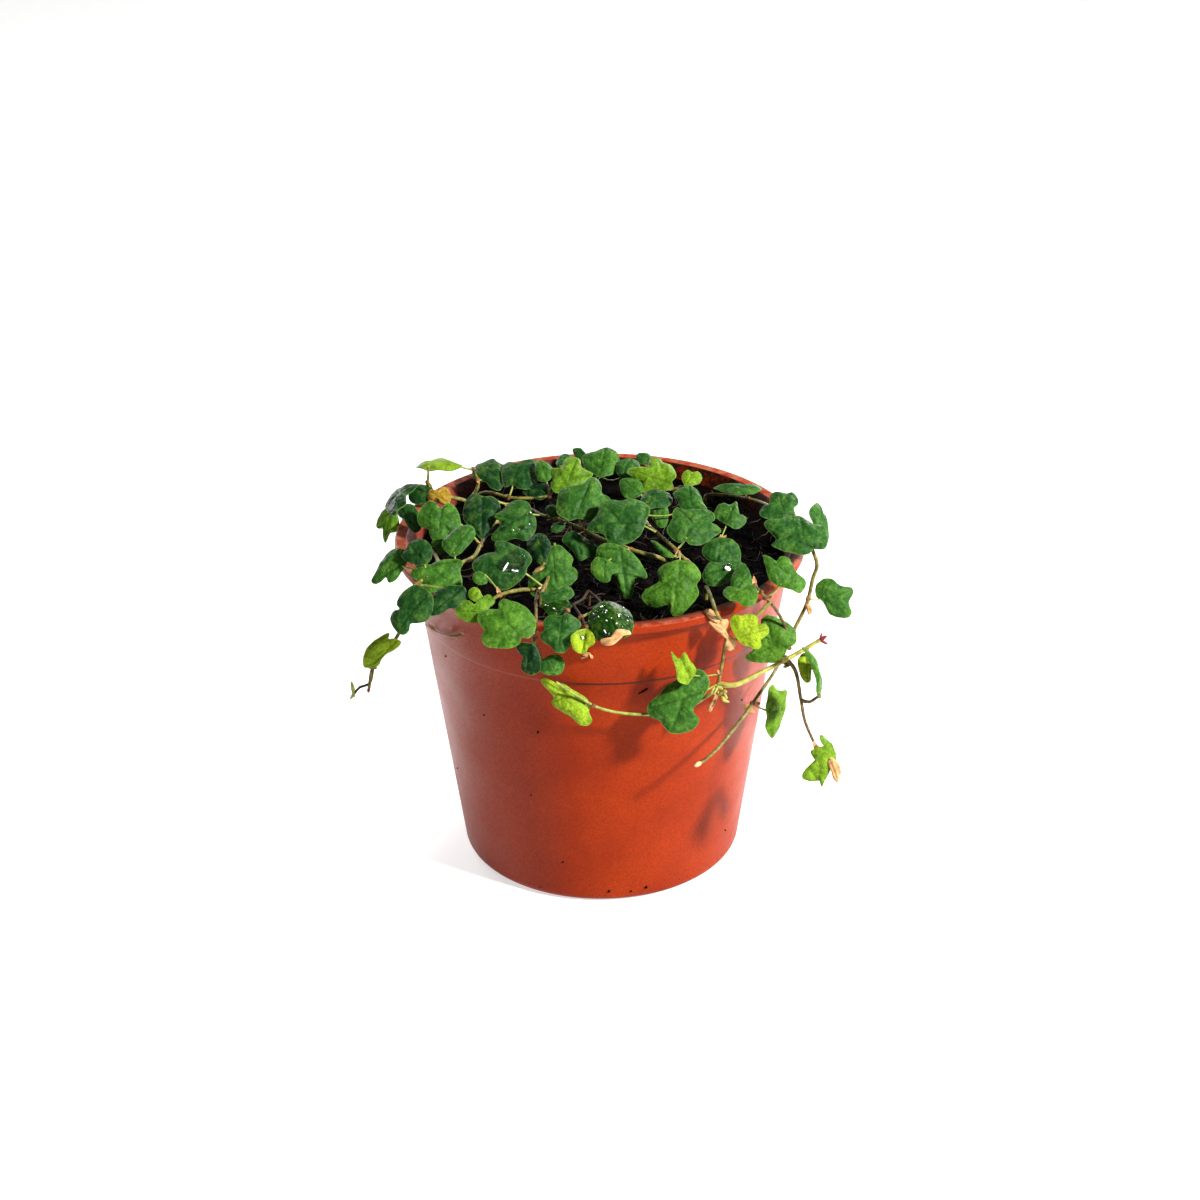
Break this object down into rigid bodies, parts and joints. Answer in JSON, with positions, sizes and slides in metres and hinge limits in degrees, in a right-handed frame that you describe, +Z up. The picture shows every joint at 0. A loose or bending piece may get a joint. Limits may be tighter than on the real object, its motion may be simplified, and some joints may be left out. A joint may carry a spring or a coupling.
{
  "type": "potted oakleaf creeping fig",
  "caption": "Small creeping fig with lobed, pale-edged green leaves on thin runners that trail over the rim of a round tapered plastic nursery pot filled with dark soil.",
  "frame": {"origin": "centre of the pot's flat underside", "axes": "+Z up along the pot's axis, -Y towards the side from which the picture looks, +X to the right from there"},
  "size_m": [0.1441, 0.1297, 0.1181],
  "materials": {
    "pot_plastic": "semi-gloss moulded terracotta-coloured plastic with faint scuffs",
    "soil": "dark moist peat with crumbs and short fibres",
    "foliage": "slightly puckered green leaves with paler margins and a soft gloss, olive to brown stems"
  },
  "bodies": {
    "root": {"pot": "pot_plastic", "soil": "soil", "vine_back_left": "foliage", "vine_left": "foliage", "vine_front_left": "foliage", "vine_middle_left": "foliage", "vine_back": "foliage", "vine_runner": "foliage", "vine_centre_right": "foliage", "vine_right": "foliage", "vine_right_inner": "foliage", "vine_front_trail": "foliage", "vine_front": "foliage"}
  },
  "joints": []
}
